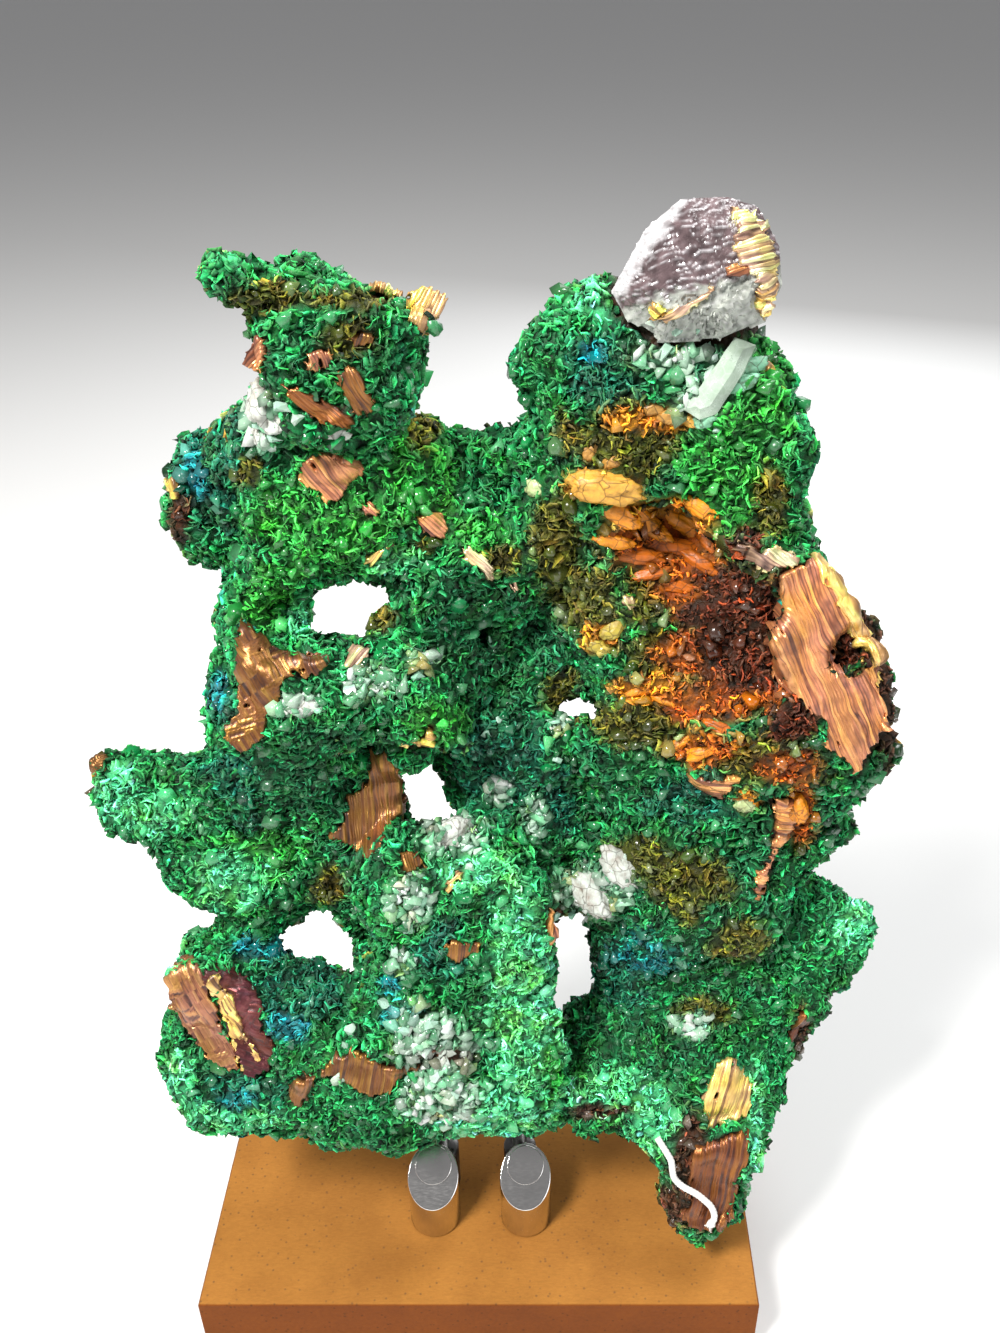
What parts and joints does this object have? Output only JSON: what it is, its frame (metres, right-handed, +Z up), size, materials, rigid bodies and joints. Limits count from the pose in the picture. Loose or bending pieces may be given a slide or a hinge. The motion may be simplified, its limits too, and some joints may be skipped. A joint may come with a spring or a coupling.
{
  "type": "native copper specimen on a stand",
  "caption": "Branching native copper specimen crusted with malachite, blue copper minerals and quartz, held upright on a board by steel posts and pins.",
  "frame": {"origin": "centre of the board's underside", "axes": "+Z up, +Y towards the back of the specimen, +X to the viewer's right; the specimen faces -Y"},
  "size_m": [0.2272, 0.1, 0.3335],
  "materials": {
    "mineral_crust": "rough green and blue crystalline crust, slightly glittering",
    "bare_copper": "fine parallel grooves, warm brown to golden sheen",
    "quartz": "cloudy, glossy crystal faces",
    "fibreboard": "bare medium-density fibreboard, matt and finely flecked",
    "polished_steel": "polished bar with satin disc tops",
    "dark_steel": "darkened bar",
    "white_cotton": "soft twisted string"
  },
  "bodies": {
    "root": {"copper_specimen": "mineral_crust", "base_board": "fibreboard", "front_post_left": "polished_steel", "front_post_right": "polished_steel", "rear_rod_left": "dark_steel", "rear_rod_right": "dark_steel", "white_string": "white_cotton"}
  },
  "joints": []
}
